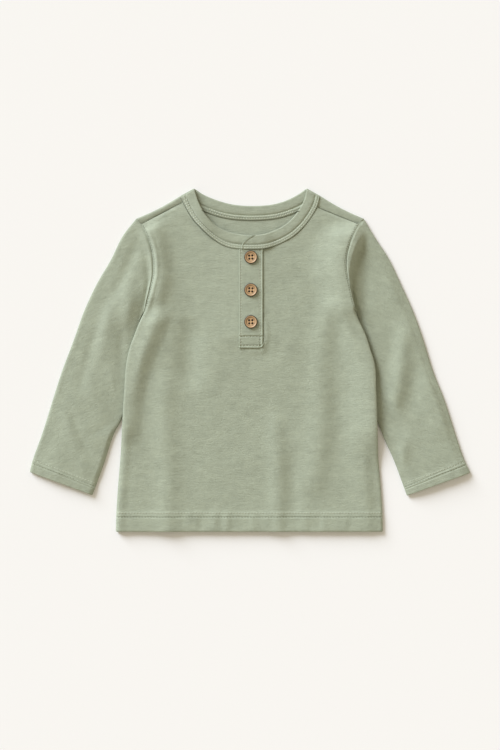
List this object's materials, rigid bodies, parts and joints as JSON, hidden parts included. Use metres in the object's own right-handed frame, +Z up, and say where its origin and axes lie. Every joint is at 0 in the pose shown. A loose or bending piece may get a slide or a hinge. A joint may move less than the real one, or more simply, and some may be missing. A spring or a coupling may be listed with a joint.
{
  "type": "henley shirt",
  "caption": "Baby's long-sleeved henley shirt in cotton jersey, laid flat face up, with a round neckband and a short buttoned placket.",
  "frame": {"origin": "middle of the shirt's outline, on the surface that it lies on", "axes": "+X across the shirt to the wearer's left, +Y from the hem to the neck, +Z up from the surface"},
  "size_m": [0.4406, 0.343, 0.0083],
  "materials": {
    "jersey": "matt slub cotton jersey, sage green",
    "band_jersey": "matt folded cotton jersey, sage green",
    "button_wood": "satin turned wood"
  },
  "bodies": {
    "root": {"back_panel": "jersey", "front_panel": "jersey", "sleeve_right": "jersey", "sleeve_left": "jersey", "neckband": "band_jersey", "placket_under": "band_jersey", "placket_over": "band_jersey", "button_top": "button_wood", "button_middle": "button_wood", "button_bottom": "button_wood"}
  },
  "joints": []
}
